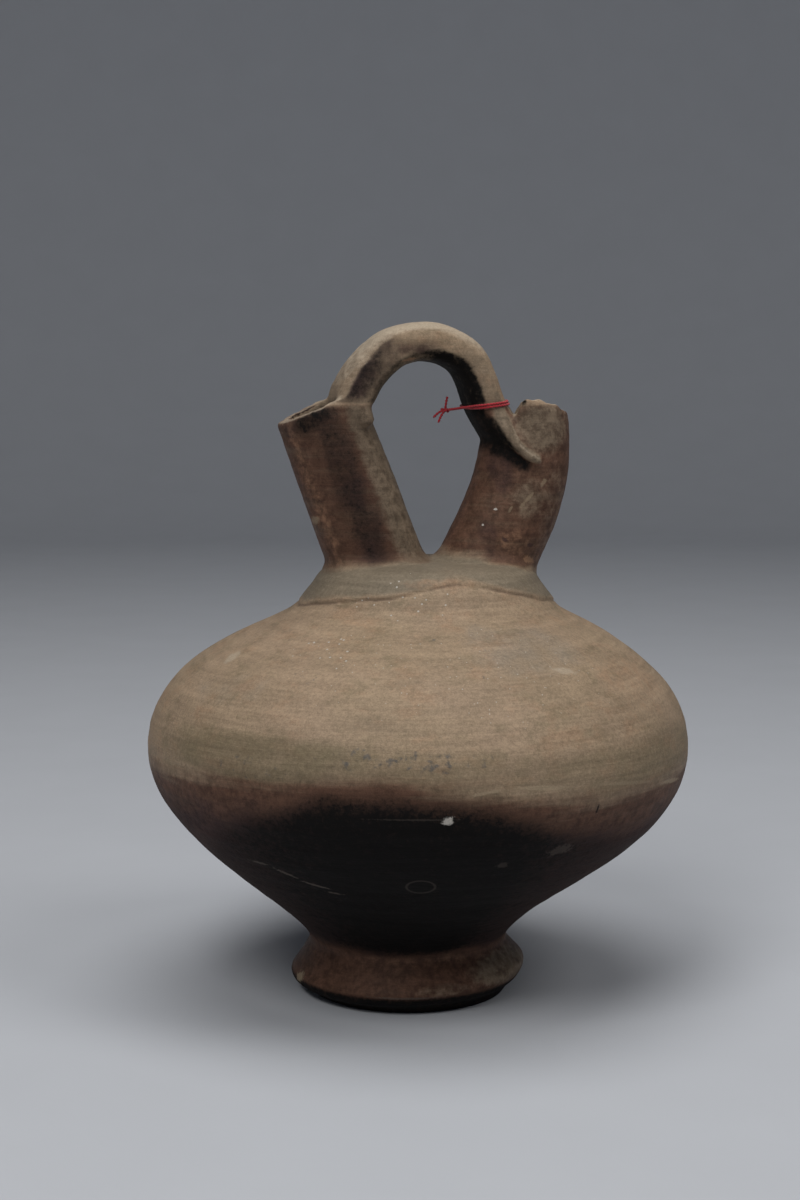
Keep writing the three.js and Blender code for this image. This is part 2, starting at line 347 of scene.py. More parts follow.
def bodyForm():
    recess = [
        (0, body["recessDepth"]),
        (body["recessRadius"] * 0.4, body["recessDepth"]),
        (body["recessRadius"] * 0.72, body["recessDepth"]),
        (body["recessRadius"] * 0.93, body["recessDepth"] * 0.75),
        (body["recessRadius"] * 0.99, body["recessDepth"] * 0.3),
        (body["recessRadius"], 0),
        (mix(body["recessRadius"], body["ringRadius"], 0.5), 0),
    ]
    thing = objectOf(turnedForm(recess + spaced(outerOutline(), ringStep), body["sides"]), "body")
    mesh = thing.data
    points = throwOffCentre(readPoints(mesh))
    writePoints(mesh, points)
    normals = readPoints(mesh, "normal")
    level = points[:, 2]
    turn = turnOf(points)
    radius = np.hypot(points[:, 0], points[:, 1])
    outside = (radius > body["ringRadius"] - 1) | (level > body["waistLevel"])
    offset = body["unevenness"] * noiseAt(points, (44, 44, 36))
    offset += body["burnishing"] * noiseAt(points, (26, 26, 4.5), 1)
    offset += body["brushing"] * noiseAt(points, (9, 9, 1.8), 2)
    above = level - seamLevelAt(turn) - seamWaver(points)
    ridge = smooth(above, -0.3, 0.35) * (1 - 0.85 * smooth(above, 1.0, 6.5))
    groove = np.exp(-((above + 0.55) / 0.42) ** 2)
    nearCollar = smooth(level, 132.5, 134)
    offset += nearCollar * body["seamHeight"] * (ridge - 0.6 * groove)
    points = points + normals * (offset * outside)[:, None]
    points[:, 2] = np.maximum(points[:, 2], 0)
    writePoints(mesh, points)
    return thing


def hollowForm():
    outline = np.array(spaced(bellyArcs() + collarOutline()[1:], lambda radius, level: 3.2))
    heading = np.gradient(outline, axis=0)
    heading /= np.linalg.norm(heading, axis=1)[:, None]
    inner = outline + np.stack((-heading[:, 1], heading[:, 0]), axis=1) * body["wall"]
    floorLevel = body["floorLevel"]
    walls = [tuple(point) for point in inner if point[1] > floorLevel + 3 and point[0] > 1]
    roof = body["collarLevel"] - body["wall"]
    profile = [(0, floorLevel), (walls[0][0] * 0.72, floorLevel + 1.2), *walls, (0, roof)]
    thing = objectOf(turnedForm(profile, body["sides"] // 2), "hollow")
    writePoints(thing.data, throwOffCentre(readPoints(thing.data)))
    return thing


# The spouts: axis as (x, z) points, from inside the collar to the mouth

leftSpout = {
    "axis": ((-10.8, 139), (-18.8, 160), (-26.8, 181), (-34.7, 202.4)),
    "rootRadius": 16.1,
    "mouthRadius": 15.2,
    "rimTilt": 4,
    "rimDrop": 0,
    "dropTurn": 12,
    "rimRise": 0.455,  # of the mouth's edge towards the handle, by distance
}
rightSpout = {
    "axis": ((19, 139), (31.6, 162), (42, 181), (36.2, 204.5)),
    "rootRadius": 16.4,
    "mouthRadius": 15,
    "rimTilt": -24,
    "rimDrop": 12.3,
    "dropTurn": 192,
}
spoutMake = {
    "wall": 4.8,
    "filletRadius": 5.2,
    "filletSink": 0.5,
    "boreFlare": 4.2,
    "boreReach": 9,  # how far a bore runs on past the ends of its spout
    "boreSides": 64,
    "boreSteps": 40,
    "sides": 88,
    "steps": 64,
    "handleEndShare": 0.955,
}


def spoutPath(spout, steps):
    knots = [Vector((x, 0, z)) for x, z in spout["axis"]]
    return makePath(interpolate_bezier(*knots, 120), steps)


def spoutRadius(spout, share):
    return mix(spout["rootRadius"], spout["mouthRadius"], smooth(share, 0.45, 1))


def leftRimLevelAt(x):
    mouthX, mouthLevel = leftSpout["axis"][-1]
    return mouthLevel + leftSpout["rimRise"] * (x - mouthX)


def collarLevelAt(radius):
    outline = np.array(collarOutline())[::-1]
    return np.interp(radius, outline[:, 0], outline[:, 1])


def spoutForm(spout):
    slope = math.tan(math.radians(spout["rimTilt"]))
    inward = math.radians(spout["dropTurn"])
    path = spoutPath(spout, spoutMake["steps"])

    def section(share, x, y):
        radius = spoutRadius(spout, share)
        inner = x * math.cos(inward) + y * math.sin(inward)
        drop = spout["rimDrop"] * smooth(inner, -0.1, 0.5) * smooth(share, 0.6, 1)
        return x * radius, y * radius, x * radius * slope * share - drop

    thing = objectOf(sweptForm(path, spoutMake["sides"], section), "spout")
    points = readPoints(thing.data)
    span = np.hypot(points[:, 0] - body["collarOffset"], points[:, 1])
    fillet = spoutMake["filletRadius"]
    height = np.clip(points[:, 2] - collarLevelAt(span) + spoutMake["filletSink"], 0, fillet)
    reach = fillet - np.sqrt(fillet ** 2 - (fillet - height) ** 2)
    reach *= 1 - 0.65 * smooth(span, 28, 37)  # the collar already falls away there
    axisX = np.interp(points[:, 2], path["line"][:, 2], path["line"][:, 0])
    aside = np.stack((points[:, 0] - axisX, points[:, 1]), axis=1)
    length = np.maximum(np.linalg.norm(aside, axis=1), 0.01)
    points[:, :2] += aside / length[:, None] * (reach * smooth(length, 4, 10))[:, None]
    writePoints(thing.data, points)
    return thing


def boreForm(spout, topShare, trim=0.0):  # up to a share of the spout, or out of its mouth
    path = spoutPath(spout, spoutMake["boreSteps"])
    last = round(spoutMake["boreSteps"] * topShare)
    path = {key: value[:last + 1] for key, value in path.items() if key != "length"}

    def section(share, x, y):
        share = share * topShare
        flare = spoutMake["boreFlare"] * (1 - smooth(share, 0, 0.38))
        radius = spoutRadius(spout, share) - spoutMake["wall"] + flare - trim
        ahead = 0
        if share < 0.001:
            ahead = -spoutMake["boreReach"]
        if share > 0.999:
            ahead = spoutMake["boreReach"]
        return x * radius, y * radius, ahead

    return objectOf(sweptForm(path, spoutMake["boreSides"], section), "bore")


# The strap handle, from the left spout's inner wall over the arch onto the right spout

handle = {
    "rise": 22,
    "thickness": 13,
    "width": 25,
    "rootWidth": 30,
    "endProud": 1.2,  # how far its smeared end stands in front of the right spout
    "squareness": 2.7,
    "leftSquareness": 3.6,
    "sides": 48,
    "steps": 130,
}


def besideSpout(spout, share, radiusShare):
    path = spoutPath(spout, 100)
    ring = round(share * 100)
    aside = path["outward"][ring] * spoutRadius(spout, share) * radiusShare
    return Vector(path["line"][ring] + aside)


def handleLine():
    leftX, leftZ = leftSpout["axis"][-1]
    rightX, rightZ = rightSpout["axis"][-1]
    start = leftX + leftSpout["mouthRadius"] * 0.75
    end = rightX - rightSpout["mouthRadius"] * 0.87
    level = min(leftZ, rightZ)
    middle, half = (start + end) / 2, (end - start) / 2
    arch = [(-1, 0.02), (-0.88, 0.36), (-0.67, 0.64), (-0.4, 0.87), (0.02, 0.98), (0.4, 0.91),
            (0.7, 0.72), (0.86, 0.42), (0.99, 0.04)]
    return splineThrough([
        besideSpout(leftSpout, 0.83, 0.8),
        *[Vector((middle + half * across, 0, level + handle["rise"] * up)) for across, up in arch],
        besideSpout(rightSpout, 0.86, -0.62),
        besideSpout(rightSpout, 0.77, -0.32),
        besideSpout(rightSpout, 0.68, 0.06),
    ])


def handleSection(share):
    fullness = 0.42 + 0.62 * smooth(share, 0, 0.1) - 0.08 * smooth(share, 0.3, 0.75)
    fullness -= 0.5 * smooth(share, 0.84, 1)
    spread = 1 - smooth(share, 0.05, 0.3) + smooth(share, 0.72, 0.95)
    return handle["thickness"] / 2 * fullness, mix(handle["width"], handle["rootWidth"], spread) / 2


def superellipse(turn, halfX, halfY, squareness=handle["squareness"]):
    power = 2 / squareness
    c, s = math.cos(turn), math.sin(turn)
    return (halfX * math.copysign(abs(c) ** power, c), halfY * math.copysign(abs(s) ** power, s))


def handleForm():
    def section(share, x, y):
        halfThickness, halfWidth = handleSection(share)
        if y > 0:
            halfWidth += handle["endProud"] * smooth(share, 0.84, 0.92)
        reach = math.hypot(x, y)
        squareness = mix(handle["leftSquareness"], handle["squareness"], smooth(share, 0.35, 0.55))
        side, depth = superellipse(math.atan2(y, x), halfThickness, halfWidth, squareness)
        return side * reach, depth * reach, 0

    path = makePath(handleLine(), handle["steps"])
    return objectOf(sweptForm(path, handle["sides"], section), "strap")


tongue = {  # the clay of the handle's end, dragged down over the front of the right spout
    "points": (
        (24.6, -9.8, 199.5), (26.4, -12.2, 195.8), (28.7, -14.6, 191.6),
        (31.4, -16.2, 188), (34.8, -16.8, 185.2), (38.8, -16.4, 183.3)),
    "startRadius": 3.0,
    "endRadius": 1.3,
}


def tongueForm():
    def section(share, x, y):
        radius = mix(tongue["startRadius"], tongue["endRadius"], smooth(share, 0.15, 0.75))
        return x * radius, y * radius, 0

    path = makePath(splineThrough(tongue["points"]), 40)
    return objectOf(sweptForm(path, 20, section), "tongue")


# The upper clay is joined in one skin, so that its edges are worn round and its joints are smeared

upperClay = {
    "voxel": 0.92,
    "softening": 6,
    "lumps": 0.22,
    "grit": 0.09,
    "rimWear": 0.75,
    "rootRounds": 5,  # of softening where the spouts grow out of the collar
    "doubles": 0.002,
}


def soften(thing, rounds, chosen=None):
    bm = bmesh.new()
    bm.from_mesh(thing.data)
    verts = [vert for vert in bm.verts if chosen is None or chosen(vert.co)]
    for _ in range(rounds):
        bmesh.ops.smooth_vert(
            bm, verts=verts, factor=0.5, use_axis_x=True, use_axis_y=True, use_axis_z=True)
    bm.to_mesh(thing.data)
    bm.free()


def upperForm():
    parts = []
    for spout in (leftSpout, rightSpout):
        tube = spoutForm(spout)
        combine(tube, boreForm(spout, 1), "DIFFERENCE")
        parts.append(tube)
    strap = handleForm()
    for spout in (leftSpout, rightSpout):
        combine(strap, boreForm(spout, spoutMake["handleEndShare"]), "DIFFERENCE")
    bm = bmesh.new()
    for part in (*parts, strap, tongueForm()):
        bm.from_mesh(part.data)
        bpy.data.objects.remove(part)
    thing = objectOf(bm, "upper")
    remesh = thing.modifiers.new("skin", "REMESH")
    remesh.mode = "VOXEL"
    remesh.voxel_size = upperClay["voxel"]
    settle(thing)
    soften(thing, upperClay["softening"])
    points = readPoints(thing.data)
    normals = readPoints(thing.data, "normal")
    offset = upperClay["lumps"] * noiseAt(points, 11, 5) + upperClay["grit"] * noiseAt(points, 2.6, 6)
    points = points + normals * offset[:, None]
    x, y, z = points.T
    atLeftRim = (x < -18) * smooth(z - leftRimLevelAt(x), -4, 0)
    atRightRim = (x > 30) * smooth(z, 196, 199.5)
    wear = upperClay["rimWear"] * (noiseAt(points, 3.4, 10) + 0.5 * noiseAt(points, 1.6, 11))
    points[:, 2] += wear * (0.6 * atLeftRim + atRightRim) - 1.1 * atRightRim * smooth(x, 45.6, 47)
    writePoints(thing.data, points)
    return thing


def makeVessel():
    thing = bodyForm()
    print("body turned:", len(thing.data.vertices), "points")
    upper = upperForm()
    print("spouts and handle joined:", len(upper.data.vertices), "points")
    combine(thing, upper, "UNION")
    fillet = spoutMake["filletRadius"]

    def byRoot(place):
        height = place.z - collarLevelAt(math.hypot(place.x - body["collarOffset"], place.y))
        return abs(height) < 0.3 * fillet and place.z > body["shoulderLevel"] + 9

    soften(thing, upperClay["rootRounds"], byRoot)
    combine(thing, hollowForm(), "DIFFERENCE")
    for spout in (leftSpout, rightSpout):
        combine(thing, boreForm(spout, 0.35, 0.2), "DIFFERENCE")
    bm = bmesh.new()
    bm.from_mesh(thing.data)
    bmesh.ops.remove_doubles(bm, verts=bm.verts, dist=upperClay["doubles"])
    bm.to_mesh(thing.data)
    bm.free()
    thing.data.shade_smooth()
    thing.name = "clayVessel"
    print("vessel hollowed:", len(thing.data.vertices), "points")
    return thing


vessel = makeVessel()


# Where each finish lies on the clay: named patches of (turn, level, half turn, half level, strength)

sootAndShadeEdge = {  # where the lower belly is painted black, partly fire-blackening and partly painted shade: top level and strength by turn
    "turns": (-150, -110, -75, -58, -45, -31, -5, 8, 20, 40, 60, 90, 130, 165),
    "levels": (56, 52, 60, 72, 80, 86.5, 85.5, 80, 74, 68, 65, 56, 54, 60),
    "strengths": (0.55, 0.3, 0.5, 0.66, 0.84, 1, 1, 0.98, 0.7, 0.5, 0.48, 0.4, 0.3, 0.6),
}
russetEdge = {  # and the top of the red-brown band above the black of soot and painted shade
    "turns": (-150, -110, -80, -60, -45, -20, -8, 5, 15, 30, 45, 60, 90, 130, 165),
    "levels": (85, 83, 85, 88, 90, 90.5, 89, 86, 83.5, 82, 82, 83, 84, 85, 84),
}
olivePatches = {
    "left band": (-46, 95, 32, 9, 0.75),
    "front band": (-8, 93, 34, 8, 0.55),
    "right band": (40, 90, 44, 9, 0.6),
    "back band": (120, 95, 50, 8, 0.6),
}
bluePatches = {
    "front spots": (-16, 96, 22, 4.5, 0.8),
    "left spots": (-47, 92, 12, 5, 0.6),
    "shoulder spot": (-41, 118, 5, 3, 0.5),
    "high spots": (4, 126, 26, 10, 0.35),
    "back spots": (160, 98, 30, 5, 0.7),
}
dunPatches = {
    "foot right": (46, 12, 34, 6, 0.85),
    "foot front": (2, 9, 18, 2.5, 0.5),
}
greyPatches = {
    "right shoulder": (20, 126, 24, 9, 0.6),
    "left shoulder": (-62, 112, 16, 6, 0.4),
    "back shoulder": (140, 124, 30, 9, 0.5),
}
pinkPatches = {
    "right shoulder": (52, 114, 20, 9, 0.6),
    "seam tint": (0, 144.6, 26, 2.2, 0.8),
    "right seam tint": (36, 141.6, 16, 1.6, 0.5),
    "waist": (-11, 18, 40, 3, 0.5),
    "back shoulder": (-150, 116, 22, 9, 0.4),
}
fleckPatches = {
    "left shoulder": (-40, 125, 15, 6, 1.0),
    "by the seam": (-20, 140, 30, 9, 0.85),
    "front shoulder": (2, 120, 50, 18, 0.5),
    "back shoulder": (170, 122, 30, 10, 0.5),
}


# Stains on the spouts, seen from the front: x, level, half width, half height, strength
spoutPatches = {
    "umber": (
        (26, 181, 5.5, 9, 0.75), (46, 178, 5, 18, 0.25),
        (21, 158, 4, 8, 0.6), (-47, 196, 6, 7, 0.5)),
    "dun": (
        (35, 171, 8, 9, 0.6), (-20, 198, 9, 10, 0.85),
        (40, 196, 12, 12, 0.85), (45, 168, 8, 20, 0.45)),
    "pink": ((30, 156, 9, 6, 0.6), (38, 150, 7, 4, 0.5)),
}
archCentre = (-3.3, 198)  # of the handle, as x and level
overlapTop = {  # the painted cast shadow and soot below the handle's end lie between this line and overlapFoot
    "x": (20, 23.8, 26.6, 30.2, 33.7, 36.7),
    "level": (199, 194.7, 190.2, 187.1, 184.1, 182.9),
}
overlapFoot = {
    "x": (20.9, 26.7, 30.2, 34.4, 36.5),
    "level": (185.7, 184.1, 181.1, 178.5, 180),
}
tongueRidge = {  # the ridge of the handle's end, along which a painted highlight is laid
    "x": (25, 27.7, 29.7, 31.6, 35.1, 38.9),
    "level": (206, 199.1, 194, 188.9, 186.1, 184.1),
}


def patchMask(turn, level, patches):
    mask = np.zeros(len(turn))
    for centreTurn, centreLevel, halfTurn, halfLevel, strength in patches.values():
        aside = ((turn - centreTurn + 180) % 360 - 180) / halfTurn
        away = np.hypot(aside, (level - centreLevel) / halfLevel)
        mask = np.maximum(mask, strength * (1 - smooth(away, 0.55, 1.25)))
    return mask


def spoutMask(x, z, name):
    mask = np.zeros(len(x))
    for centreX, centreZ, halfX, halfZ, strength in spoutPatches[name]:
        away = np.hypot((x - centreX) / halfX, (z - centreZ) / halfZ)
        mask = np.maximum(mask, strength * (1 - smooth(away, 0.4, 1.3)))
    return mask


def bodyMasks(points, sway):
    turn = turnOf(points)
    z = points[:, 2]
    level = z + sway
    belowEdge = np.interp(turn, russetEdge["turns"], russetEdge["levels"], period=360) - level
    sootAndShadeTop = np.interp(turn, sootAndShadeEdge["turns"], sootAndShadeEdge["levels"], period=360)
    sootAndShadeStrength = np.interp(turn, sootAndShadeEdge["turns"], sootAndShadeEdge["strengths"], period=360)
    # The black on the lower belly is partly fire-blackening and partly painted shade
    sootAndShade = sootAndShadeStrength * (1 - smooth(z + 0.8 * sway - sootAndShadeTop, -9, 5))
    sootAndShade *= smooth(z + 0.5 * sway + 1.5 * np.cos(np.radians(turn + 10)), 18, 25)
    footUnderShade = 0.95 * (1 - smooth(z, 5.5, 8))  # painted shade on the clay drawn in under the foot's edge
    seamGap = (z - seamLevelAt(turn) - seamWaver(points) + 0.45) / 0.4
    breaks = smooth(noiseAt(points, (14, 14, 14), 12), -0.35, 0.1)
    return {
        "sootAndShade": np.maximum(sootAndShade, footUnderShade),
        "umber": smooth(belowEdge, 0, 22) * smooth(level, 17, 25),
        "russet": smooth(belowEdge, -8, 8),
        "ash": smooth(z - seamLevelAt(turn), -1, 3),
        "olive": patchMask(turn, level, olivePatches),
        "blue": patchMask(turn, level, bluePatches),
        "pink": patchMask(turn, z, pinkPatches),
        "pale": np.zeros(len(z)),
        "dun": patchMask(turn, z, dunPatches),
        "grey": patchMask(turn, level, greyPatches),
        "flecks": patchMask(turn, z, fleckPatches),
        "crack": np.exp(-seamGap ** 2) * breaks,
    }


def handleEndMasks(x, y, z, sway):  # where the handle is smeared over the right spout
    topEdge = np.interp(x, overlapTop["x"], overlapTop["level"])
    footEdge = np.interp(x, overlapFoot["x"], overlapFoot["level"])
    # Painted cast shadow under the handle's smeared end, together with soot
    sootAndShade = smooth(topEdge - z, -0.6, 0.8) * smooth(z - footEdge + 0.6 * sway, -1.5, 3)
    sootAndShade *= smooth(x, 18, 23) * (1 - smooth(x, 33.5, 37.5)) * smooth(-y, 4, 9)
    ridgeGap = z - np.interp(x, tongueRidge["x"], tongueRidge["level"])
    onEnd = smooth(x, 22, 25) * (1 - smooth(x, 38, 40)) * smooth(-y, 7, 11)
    # A painted highlight along the ridge of the handle's end
    ridge = onEnd * np.exp(-(ridgeGap / 1.1) ** 2) * smooth(x, 27, 30)
    face = onEnd * smooth(z - topEdge, -0.5, 0.8) * (1 - smooth(ridgeGap, 0.5, 2.5))
    return sootAndShade, ridge, face * smooth(z, 180, 182)


def layMasks(mesh):
    points = readPoints(mesh)
    normals = readPoints(mesh, "normal")
    x, y, z = points.T
    sway = 2.2 * noiseAt(points, (30, 30, 60), 7) + 1.1 * noiseAt(points, (9, 9, 20), 8)
    grainy = noiseAt(points, (5, 5, 18), 9)
    facingFront = smooth(-normals[:, 1], 0.1, 0.7)

    # What belongs to the spouts and what to the handle
    leftAxis = np.array(leftSpout["axis"])
    rightPath = spoutPath(rightSpout, 40)["line"]
    leftX = np.interp(z, leftAxis[:, 1], leftAxis[:, 0])
    rightX = np.interp(z, rightPath[:, 2], rightPath[:, 0])
    left = x < (leftX + rightX) / 2
    tubeRadius = spoutRadius(leftSpout, 0.5)
    beside = np.where(left, x - leftX, x - rightX) / tubeRadius
    fromAxis = np.hypot(beside, y / tubeRadius)
    rootStain = (1 - smooth(fromAxis + 0.1 * sway, 0.96, 1.4)) * smooth(z + sway, 141, 148)
    overCollar = z - collarLevelAt(np.hypot(x - body["collarOffset"], y)) + 1.2 * sway
    onUpper = np.maximum(smooth(overCollar, 0.5, 6), rootStain)
    isSpout = onUpper * (np.abs(beside) < 1.3) * (1 - smooth(z, 201, 204))
    onHandle = onUpper * (1 - isSpout) * smooth(z, 174, 182)
    masks = {name: (1 - onUpper) * mask for name, mask in bodyMasks(points, sway).items()}

    # The spouts
    leftStreak = 1 - smooth(np.abs(beside + 0.1 + 0.2 * grainy), 0.12, 0.78)
    leftRim = leftRimLevelAt(x)
    rimShade = smooth(z - leftRim, -12, -3) * (1 - smooth(beside, -0.1, 0.4))
    rimShade *= smooth(beside, -0.95, -0.6)
    # Soot streaks on the left spout, together with painted shade under its rim
    leftSootAndShade = left * isSpout * facingFront * np.maximum(0.58 * leftStreak, 0.8 * rimShade)
    # Painted shade on the right spout's inner side, where it faces into the arch
    innerRightShade = onUpper * (x > 10) * (beside < -0.4)
    innerRightShade *= smooth(-normals[:, 0], 0.35, 0.75) * smooth(z, 184, 190)
    spoutUmber = np.maximum(spoutMask(x, z, "umber"), 0.55 * left * leftStreak)
    leftEdge = 0.9 * left * (1 - smooth(beside, -0.95, -0.55))
    spoutPink = facingFront * np.maximum(spoutMask(x, z, "pink"), leftEdge)
    leftTan = 0.95 * left * smooth(beside, 0.1, 0.6)
    spoutDun = np.maximum(spoutMask(x, z, "dun"), leftTan)
    inside = onUpper * (1 - smooth(fromAxis, 0.8, 0.9)) * (z < np.where(left, leftRim - 1, 203.5))
    axisTilt = np.where(left, -0.347, -0.13)
    # Pale on the spout rims' upward faces: partly worn clay, partly painted light
    rimTopLight = onUpper * smooth(normals[:, 0] * axisTilt + normals[:, 2] * 0.95, 0.55, 0.9)
    atRim = np.where(left, smooth(z - leftRim, -3, 0) * (x < -22), (x > 29) * smooth(z, 193, 197))

    # The handle
    fromCentre = np.hypot(x - archCentre[0], z - archCentre[1])
    inward = -(normals[:, 0] * (x - archCentre[0]) + normals[:, 2] * (z - archCentre[1]))
    inward /= np.maximum(fromCentre, 1)
    limbFront = facingFront * (1 - smooth(x, -21, 0)) * (1 - smooth(-inward, 0.3, 0.75))
    limbFront *= smooth(z, 200, 207) * (0.62 + 0.38 * smooth(fromCentre, 17, 22))
    # Painted shade on the handle's underside and inside the right limb, laid together with the left
    # limb's soot stain
    underArchShade = smooth(inward, 0.05, 0.5) * mix(0.6, 1.0, smooth(x, -4, 6))
    rightInsideShade = smooth(x, 0, 9) * (1 - smooth(fromCentre + 1.4 * grainy, 17.5, 26))
    limbSootAndShade = np.maximum.reduce([0.62 * limbFront, underArchShade, 0.9 * rightInsideShade])
    limbHalo = 0.6 * smooth(x, 0, 9) * (1 - smooth(fromCentre, 19, 29))
    crownShade = 0.8 * facingFront * np.exp(-((x + 4) / 9) ** 2 - ((z - 221.5) / 3.2) ** 2)
    handleUmber = np.maximum.reduce([0.75 * limbFront, crownShade, limbHalo])
    # Painted light on the handle's upward faces
    handleTopLight = smooth(normals[:, 2], 0.1, 0.9) * smooth(z, 204, 220) * (1 - crownShade)
    rightLimb = 0.45 * smooth(x, 4, 18) * (1 - smooth(normals[:, 2], 0.1, 0.6))
    leftLimb = 0.5 * (1 - smooth(x, -14, -4))
    endShadowAndSoot, ridge, limbFace = (onUpper * mask for mask in handleEndMasks(x, y, z, sway))

    # The soot layer also carries painted shade, and the pale layer painted light
    added = {
        "sootAndShade": (leftSootAndShade, onHandle * limbSootAndShade, endShadowAndSoot, 0.9 * innerRightShade),
        "umber": (isSpout * spoutUmber, onHandle * handleUmber),
        "russet": (0.9 * isSpout,),
        "pink": (isSpout * spoutPink,),
        "pale": (0.6 * rimTopLight * atRim, 0.85 * onHandle * handleTopLight, 0.45 * ridge),
        "dun": (isSpout * spoutDun, onHandle * np.maximum(rightLimb, leftLimb), 0.85 * limbFace),
    }
    for name, layers in added.items():
        masks[name] = np.maximum.reduce([masks[name], *layers])
    masks["russet"] *= 1 - 0.85 * limbFace
    for name in ("sootAndShade", "umber", "russet", "pink"):
        masks[name] *= 1 - 0.85 * inside
    masks["dun"] = np.maximum(masks["dun"], 0.7 * inside)
    for name, mask in masks.items():
        layer = mesh.attributes.new(name, "FLOAT", "POINT")
        layer.data.foreach_set("value", mask.astype(np.float32))


layMasks(vessel.data)
print("finishes laid out")


# Node helpers

def newMaterial(name):
    material = bpy.data.materials.new(name)
    material.use_nodes = True
    material.node_tree.nodes.clear()
    return material


def add(tree, kind, inputs, **settings):
    node = tree.nodes.new("ShaderNode" + kind)
    for name, value in settings.items():
        setattr(node, name, value)
    for slot, value in inputs.items():
        if isinstance(value, bpy.types.NodeSocket):
            tree.links.new(value, node.inputs[slot])
        else:
            node.inputs[slot].default_value = value
    return node


def math2(tree, operation, a, b=0.0):
    return add(tree, "Math", {0: a, 1: b}, operation=operation).outputs[0]


def ramp(tree, value, low, high, bottom=0.0, top=1.0):
    inputs = {"Value": value, "From Min": low, "From Max": high, "To Min": bottom, "To Max": top}
    return add(tree, "MapRange", inputs, interpolation_type="SMOOTHSTEP").outputs[0]


def noiseOf(tree, place, size, detail=3.0, roughness=0.55, stretch=None, tilt=0.0):
    if stretch:
        turn = (0, math.radians(tilt), 0)
        place = add(tree, "Mapping", {"Vector": place, "Rotation": turn, "Scale": stretch}).outputs[0]
    inputs = {"Vector": place, "Scale": 1 / (size * mm), "Detail": detail, "Roughness": roughness}
    return add(tree, "TexNoise", inputs).outputs[0]


def blend(tree, factor, a, b, kind="MIX"):
    return add(tree, "Mix", {0: factor, 6: a, 7: b}, data_type="RGBA", blend_type=kind).outputs[2]


def bump(tree, height, depth, below=None):
    inputs = {"Height": height, "Distance": depth * mm, "Strength": 1.0}
    if below:
        inputs["Normal"] = below
    return add(tree, "Bump", inputs).outputs[0]


def finishWith(tree, inputs):
    shader = add(tree, "BsdfPrincipled", inputs)
    add(tree, "OutputMaterial", {"Surface": shader.outputs[0]})


# Fired clay

clayColours = {
    "buff": (0.318, 0.232, 0.158, 1),
    "buffDark": (0.296, 0.219, 0.145, 1),
    "ash": (0.184, 0.152, 0.110, 1),
    "olive": (0.165, 0.133, 0.081, 1),
    "blue": (0.095, 0.092, 0.090, 1),
    "grey": (0.225, 0.195, 0.160, 1),
    "pink": (0.330, 0.190, 0.112, 1),
    "russet": (0.100, 0.052, 0.034, 1),
    "umber": (0.050, 0.028, 0.025, 1),
    "dun": (0.166, 0.126, 0.088, 1),
    # near black, used for soot and for painted shade
    "sootAndShade": (0.0045, 0.0038, 0.0034, 1),
    "pale": (0.430, 0.360, 0.275, 1),
    "chalk": (0.460, 0.430, 0.385, 1),
    "cream": (0.270, 0.205, 0.135, 1),
    "ochre": (0.310, 0.240, 0.160, 1),
    "earth": (0.120, 0.098, 0.082, 1),
}

# Small marks on the belly: turn, level, half length, half height, tilt in degrees, strength, colour
smallMarks = {
    "white flake": (-6.8, 78.1, 1.8, 1.35, -12, 1.0, "chalk"),
    "grey patch": (19, 64.8, 5.0, 1.9, -8, 0.34, "earth"),
    "small grey patch": (6, 61.3, 2.0, 1.1, 0, 0.25, "earth"),
    "left scratch one": (-52, 57.8, 4.6, 0.5, 4, 0.5, "earth"),
    "left scratch two": (-45.5, 55, 4.4, 0.6, 22, 0.55, "earth"),
    "left scratch three": (-38.5, 51.4, 4.8, 0.5, 14, 0.6, "earth"),
    "left scratch four": (-34, 48.6, 3.2, 0.4, 6, 0.5, "earth"),
    "long scratch": (-13, 78.5, 14, 0.3, 0, 0.22, "earth"),
    "dark nick": (25, 78, 0.5, 2.2, 12, 0.9, "sootAndShade"),
    "left abrasion": (-73.5, 120.2, 3.2, 2.0, 20, 0.5, "pale"),
    "right abrasion": (26.5, 119, 4.6, 1.0, 8, 0.5, "pale"),
    "ochre line left": (0.5, 86.6, 5.2, 0.55, -8, 0.7, "ochre"),
    "ochre line middle": (12, 87.0, 9, 0.75, 4, 0.9, "ochre"),
    "ochre line right": (33, 84.6, 16, 0.6, 6, 0.45, "ochre"),
    "ochre line far right": (52, 80.4, 9, 0.8, 6, 0.8, "ochre"),
    "foot chip": (-79, 8.9, 3.0, 2.0, 0, 1.0, "cream"),
    # a painted highlight along the foot's lower edge
    "foot edge highlight": (-13, 7.4, 13, 0.4, 0, 0.5, "earth"),
    # a pale line down the vessel's left edge
    "left edge pale line": (-89, 80.5, 2.6, 6, 14, 0.2, "pale"),
}

